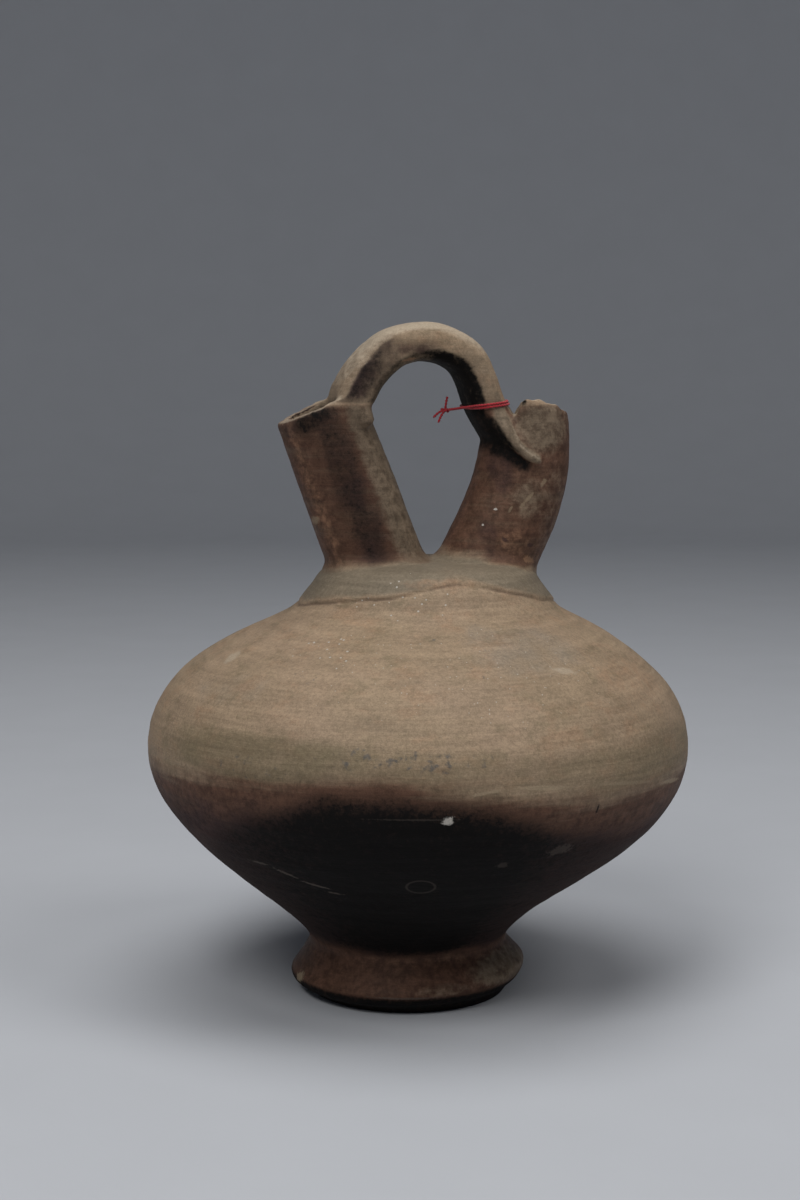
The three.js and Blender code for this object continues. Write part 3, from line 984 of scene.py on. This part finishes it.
# Marks on the spouts and the handle: place, half length, half height, tilt, strength, colour
highMarks = {
    "cream streak high": ((40.2, -15.4, 176.4), 1.6, 0.8, -60, 0.6, "cream"),
    "cream streak middle": ((35.0, -16.0, 171.5), 2.2, 0.7, -44, 0.65, "cream"),
    "cream streak low": ((32.6, -16.1, 168.8), 1.4, 0.6, -50, 0.6, "cream"),
    "cream streak left": ((28.6, -15.8, 167.6), 1.6, 0.5, -60, 0.5, "cream"),
    "white spot high": ((23.7, -13.8, 167.4), 0.6, 0.5, 0, 1.0, "chalk"),
    "white spot low": ((19.7, -12.9, 162.0), 0.4, 0.4, 0, 0.9, "chalk"),
    "dark spot left": ((26.6, -16.2, 157.0), 1.1, 0.8, 20, 0.8, "umber"),
    "dark spot right": ((35.8, -14.5, 155.0), 1.3, 0.9, 0, 0.8, "umber"),
    "red edge": ((35.5, -13.3, 150.0), 3.0, 1.2, 20, 0.6, "pink"),
    "left spout fleck": ((-36.6, -4.6, 163.9), 1.2, 1.6, 0, 0.7, "cream"),
    "arch line": ((-5.5, -11.2, 217.7), 2.6, 0.45, -10, 0.6, "pink"),
}
ringMark = {"turn": -11.2, "level": 53.3, "halfLength": 4.5, "halfHeight": 3, "strength": 0.26}


skinLine = np.array(outerOutline())
skinLine = skinLine[np.argsort(skinLine[:, 1])]


def surfacePoint(turn, level):
    radius = np.interp(level, skinLine[:, 1], skinLine[:, 0])
    angle = math.radians(turn)
    return throwOffCentre(np.array([[radius * math.sin(angle), -radius * math.cos(angle), level]]))[0]


def distanceFrom(tree, place, centre, turn, tilt, length, height):  # 1 on the edge of the mark
    inputs = {
        "Vector": place,
        "Location": Vector(centre) * mm,
        "Rotation": (0, math.radians(tilt), math.radians(turn)),
        "Scale": (length * mm, 6 * mm, height * mm),
    }
    local = add(tree, "Mapping", inputs, vector_type="TEXTURE").outputs[0]
    return add(tree, "VectorMath", {0: local}, operation="LENGTH").outputs["Value"]


def clayMaterial():
    material = newMaterial("firedClay")
    tree = material.node_tree
    place = add(tree, "TexCoord", {}).outputs["Object"]
    broad = noiseOf(tree, place, 34, 4)
    cloudy = noiseOf(tree, place, 9, 5, 0.6)
    mottle = noiseOf(tree, place, 3, 5, 0.65)
    spotty = noiseOf(tree, place, 1.3, 4, 0.7)
    grain = noiseOf(tree, place, 0.5, 3, 0.7)
    strokes = noiseOf(tree, place, 3.4, 5, 0.62, (0.09, 0.09, 1), 4)
    fineStrokes = noiseOf(tree, place, 1.3, 4, 0.65, (0.05, 0.05, 1), -3)

    def mask(name):
        return add(tree, "Attribute", {}, attribute_name=name).outputs["Fac"]

    def tinted(under, factor, name):
        return blend(tree, factor, under, clayColours[name])

    def laid(under, name, texture, depth, low, high, strength=1.0):  # a finish with a frayed edge
        shift = math2(tree, "MULTIPLY", math2(tree, "SUBTRACT", texture, 0.5), depth)
        factor = ramp(tree, math2(tree, "ADD", mask(name), shift), low, high, 0.0, strength)
        return tinted(under, factor, name)

    def toned(under, shade):
        shadeColour = add(tree, "CombineColor", {0: shade, 1: shade, 2: shade}).outputs[0]
        return blend(tree, 1.0, under, shadeColour, "MULTIPLY")

    colour = blend(tree, ramp(tree, broad, 0.35, 0.65), clayColours["buffDark"], clayColours["buff"])
    warm = noiseOf(tree, place, 6.5, 5, 0.7, (0.5, 0.5, 1), 3)
    cool = noiseOf(tree, place, 5.5, 5, 0.7, (0.5, 0.5, 1), -4)
    colour = tinted(colour, ramp(tree, warm, 0.48, 0.68, 0.0, 0.3), "pink")
    colour = tinted(colour, ramp(tree, cool, 0.5, 0.68, 0.0, 0.42), "olive")
    firing = (
        ("grey", cloudy, 1.2, 0.2, 1.0, 0.6),
        ("olive", cloudy, 1.0, 0.15, 1.0, 0.8),
        ("ash", cloudy, 0.8, 0.1, 0.9, 0.92),
        ("dun", mottle, 1.0, 0.1, 0.9),
        ("russet", strokes, 1.1, 0.15, 0.95),
        ("dun", mottle, 1.2, 0.25, 0.95, 0.9),
        ("umber", cloudy, 1.2, 0.15, 1.0),
        ("pink", mottle, 1.4, 0.35, 1.2, 0.45),
    )
    for layer in firing:
        colour = laid(colour, *layer)
    fired = add(tree, "Math", {0: mask("russet"), 1: mask("dun")}, operation="MAXIMUM").outputs[0]
    blotch = ramp(tree, mottle, 0.3, 0.7, 0.68, 1.36)
    colour = toned(colour, add(tree, "Mix", {0: fired, 2: 1.0, 3: blotch}).outputs[0])
    colour = laid(colour, "blue", noiseOf(tree, place, 2.4, 2), 3.0, 0.8, 1.35, 0.75)

    tone = add(tree, "Mix", {0: 0.4, 2: strokes, 3: cloudy}).outputs[0]
    colour = toned(colour, ramp(tree, tone, 0.32, 0.68, 0.88, 1.08))
    colour = toned(colour, ramp(tree, fineStrokes, 0.3, 0.7, 0.9, 1.1))
    colour = toned(colour, ramp(tree, spotty, 0.3, 0.7, 0.84, 1.12))
    grains = math2(tree, "MULTIPLY", math2(tree, "ADD", mottle, spotty), 0.5)
    # Near-black layer: soot, and painted shade under the foot, the arch, the left rim and the
    # handle's end
    colour = laid(colour, "sootAndShade", grains, 2.0, 0.12, 1.0)
    # Pale layer: worn rims brightened with painted light, painted light on the handle's top, and a
    # painted highlight on the end ridge
    colour = laid(colour, "pale", spotty, 0.9, 0.15, 1.0, 0.8)
    colour = tinted(colour, math2(tree, "MULTIPLY", mask("crack"), 0.5), "umber")

    fray = math2(tree, "MULTIPLY", math2(tree, "SUBTRACT", spotty, 0.5), 2.2)

    def marked(under, centre, turn, length, height, tilt, strength, name):
        away = distanceFrom(tree, place, centre, turn, tilt, length, height)
        factor = ramp(tree, math2(tree, "ADD", away, fray), 0.6, 1.15, strength, 0.0)
        return tinted(under, factor, name)

    for turn, level, *mark in smallMarks.values():
        colour = marked(colour, surfacePoint(turn, level), turn, *mark)
    for centre, *mark in highMarks.values():
        colour = marked(colour, centre, 0, *mark)
    centre = surfacePoint(ringMark["turn"], ringMark["level"])
    away = distanceFrom(
        tree, place, centre, ringMark["turn"], 0, ringMark["halfLength"], ringMark["halfHeight"])
    beyond = math2(tree, "ABSOLUTE", math2(tree, "SUBTRACT", away, 1.0))
    colour = tinted(colour, ramp(tree, beyond, 0.04, 0.13, ringMark["strength"], 0.0), "earth")

    cells = add(tree, "TexVoronoi", {"Vector": place, "Scale": 1 / (2.4 * mm)})
    size = math2(tree, "MULTIPLY", mask("flecks"), 0.17)
    specks = math2(tree, "LESS_THAN", cells.outputs["Distance"], size)
    colour = tinted(colour, math2(tree, "MULTIPLY", specks, 0.85), "chalk")
    colour = toned(colour, ramp(tree, grain, 0.3, 0.7, 0.88, 1.12))

    sooty = add(tree, "Math", {0: mask("sootAndShade"), 1: mask("umber")}, operation="MAXIMUM").outputs[0]
    sheen = math2(tree, "ADD", math2(tree, "MULTIPLY", strokes, 0.3), 0.42)
    relief = None
    for height, depth in ((strokes, 0.19), (fineStrokes, 0.12), (grain, 0.07), (mottle, 0.22)):
        relief = bump(tree, height, depth, relief)
    finishWith(tree, {
        "Base Color": colour,
        "Roughness": math2(tree, "ADD", sheen, math2(tree, "MULTIPLY", sooty, 0.25)),
        "Specular IOR Level": 0.14,
        "Normal": relief,
    })
    return material


vessel.data.materials.clear()
vessel.data.materials.append(clayMaterial())
vessel.data.transform(Matrix.Scale(mm, 4))
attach(vessel, "root")
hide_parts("vessel")
print("clay finished")


# Red cotton thread, wound twice round the right limb of the handle and knotted inside the arch

thread = {
    "tieShare": 0.754,
    "strandRadius": 0.36,
    "lobes": 0.36,  # how far the two plies stand out of the strand
    "plyPitch": 2.1,
    "snug": 0.42,  # from the clay to the strand's middle
    "wrapSpacing": 0.95,
    "knotReach": 7.38,  # from the clay to the knot
    "tilt": 7.5,
    "knotSize": 0.42,
    "tailLength": 4.6,
    "tailTurns": (-100, 25, 58),
    "tailLift": 0.12,  # how far a tail arches up, by its length
    "wrapTurns": (-138, 498),
    "wrapSteps": 60,
    "knotSteps": 24,
    "step": 0.22,
    "sides": 10,
}


def strandForm(points):
    length = sum((b - a).length for a, b in zip(points, points[1:]))
    path = makePath(points, max(8, round(length / thread["step"])))

    def section(share, x, y):
        twist = math.tau * share * path["length"] / thread["plyPitch"]
        lobe = 1 + thread["lobes"] * math.cos(2 * (math.atan2(y, x) - twist))
        radius = thread["strandRadius"] * lobe
        return x * radius, y * radius, 0

    return sweptForm(path, thread["sides"], section)


def makeThread():
    steps = 500
    line = makePath(handleLine(), steps)
    ring = round(thread["tieShare"] * steps)
    centre, limb = Vector(line["line"][ring]), Vector(line["along"][ring])
    halfThickness, halfWidth = handleSection(thread["tieShare"])
    tilt = math.radians(thread["tilt"])
    outward = Vector((math.cos(tilt), 0, math.sin(tilt)))
    slant = abs(outward.dot(Vector(line["outward"][ring])))
    knot = centre - outward * (halfThickness / slant + thread["knotReach"])
    halfAcross = halfThickness / slant + thread["snug"]
    halfDeep = halfWidth + thread["snug"]
    wraps = []
    for step in range(thread["wrapSteps"] + 1):
        turn = mix(*thread["wrapTurns"], step / thread["wrapSteps"])
        side, depth = superellipse(math.radians(turn), halfAcross, halfDeep)
        slip = thread["wrapSpacing"] * smooth(turn, 120, 240) - thread["wrapSpacing"] / 2
        wraps.append(centre + outward * side + Vector((0, depth, 0)) + limb * slip)
    pieces = [strandForm(splineThrough([knot, *wraps, knot], 6))]
    loops = []
    for step in range(thread["knotSteps"] + 1):
        t = math.tau * step / thread["knotSteps"]
        trefoil = Vector((
            math.sin(t) + 2 * math.sin(2 * t),
            math.cos(t) - 2 * math.cos(2 * t),
            -math.sin(3 * t),
        ))
        loops.append(knot + trefoil * thread["knotSize"])
    pieces.append(strandForm(splineThrough(loops, 4)))
    for turn in thread["tailTurns"]:
        angle = math.radians(turn)
        heading = -outward * math.cos(angle) - Vector((0, 0, math.sin(angle)))
        lift = Vector((0, 0, thread["tailLift"] * thread["tailLength"]))
        tip = knot + heading * thread["tailLength"]
        middle = knot.lerp(tip, 0.5) + lift
        pieces.append(strandForm(splineThrough([knot, middle, tip], 8)))
    whole = bmesh.new()
    for piece in pieces:
        strand = objectOf(piece, "strand")
        whole.from_mesh(strand.data)
        bpy.data.objects.remove(strand)
    thing = objectOf(whole, "redThread")
    thing.data.shade_smooth()
    return thing


def cottonMaterial():
    material = newMaterial("redCotton")
    tree = material.node_tree
    place = add(tree, "TexCoord", {}).outputs["Object"]
    fibres = noiseOf(tree, place, 0.28, 3, 0.6)
    fading = noiseOf(tree, place, 4, 2)
    colour = blend(tree, fading, (0.300, 0.014, 0.024, 1), (0.430, 0.030, 0.040, 1))
    lint = ramp(tree, fibres, 0.55, 0.8, 0.0, 0.35)
    colour = blend(tree, lint, colour, (0.60, 0.16, 0.15, 1))
    relief = bump(tree, fibres, 0.10)
    finishWith(tree, {
        "Base Color": colour, "Roughness": 0.85, "Normal": relief,
        "Specular IOR Level": 0.2, "Sheen Weight": 0.25, "Sheen Roughness": 0.5})
    return material


threadPiece = makeThread()
threadPiece.data.materials.append(cottonMaterial())
threadPiece.data.transform(Matrix.Scale(mm, 4))
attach(threadPiece, "root")
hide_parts("tie_thread")
print("thread tied")


# Studio: a pale round floor that rises into a wall, and three soft lights, in metres

studio = {
    "floorRadius": 2.0,
    "bend": 1.0,
    "wallTop": 2.8,
    "floorColour": (0.50, 0.52, 0.56, 1),
    "world": (0.60, 0.62, 0.66, 1),
    "worldStrength": 0.15,
    "aim": (0, 0, 0.11),
}
studioLights = {  # place, size, power, colour
    "left key": ((-0.70, -0.95, 1.35), 0.75, 12, (1.0, 0.985, 0.96)),
    "right key": ((0.75, -0.70, 1.25), 0.65, 5.5, (1.0, 0.98, 0.95)),
    "overhead": ((-0.05, -0.15, 1.80), 1.30, 14, (1.0, 0.99, 0.97)),
}


def makeStage():
    bend, radius = studio["bend"], studio["floorRadius"]
    arc = [math.radians(step * 6) for step in range(16)]
    profile = [(0, 0), (0.4, 0), (1.1, 0)]
    profile += [(radius + bend * math.sin(turn), bend * (1 - math.cos(turn))) for turn in arc]
    profile.append((radius + bend, studio["wallTop"]))
    thing = objectOf(turnedForm(profile, 96), "stageFloor")
    material = newMaterial("paleFloor")
    tree = material.node_tree
    place = add(tree, "TexCoord", {}).outputs["Object"]
    soft = noiseOf(tree, place, 60, 3)
    paper = noiseOf(tree, place, 1.2, 2)
    darker = tuple(value * 0.94 for value in studio["floorColour"][:3]) + (1,)
    colour = blend(tree, soft, darker, studio["floorColour"])
    finishWith(tree, {
        "Base Color": colour, "Roughness": 0.9, "Normal": bump(tree, paper, 0.03),
        "Specular IOR Level": 0.2})
    thing.data.materials.append(material)
    thing.data.shade_smooth()


def makeLights():
    for name, (place, size, power, colour) in studioLights.items():
        lamp = bpy.data.lights.new(name, "AREA")
        lamp.shape = "DISK"
        lamp.size = size
        lamp.energy = power
        lamp.color = colour
        thing = bpy.data.objects.new(name, lamp)
        bpy.context.scene.collection.objects.link(thing)
        thing.location = place
        aim = Vector(studio["aim"]) - thing.location
        thing.rotation_mode = "QUATERNION"
        thing.rotation_quaternion = aim.to_track_quat("-Z", "Y")
    world = bpy.data.worlds.new("studio")
    world.use_nodes = True
    sky = world.node_tree.nodes["Background"]
    sky.inputs["Color"].default_value = studio["world"]
    sky.inputs["Strength"].default_value = studio["worldStrength"]
    bpy.context.scene.world = world


makeStage()
makeLights()
bpy.context.scene.view_settings.view_transform = "Standard"
print("studio lit")
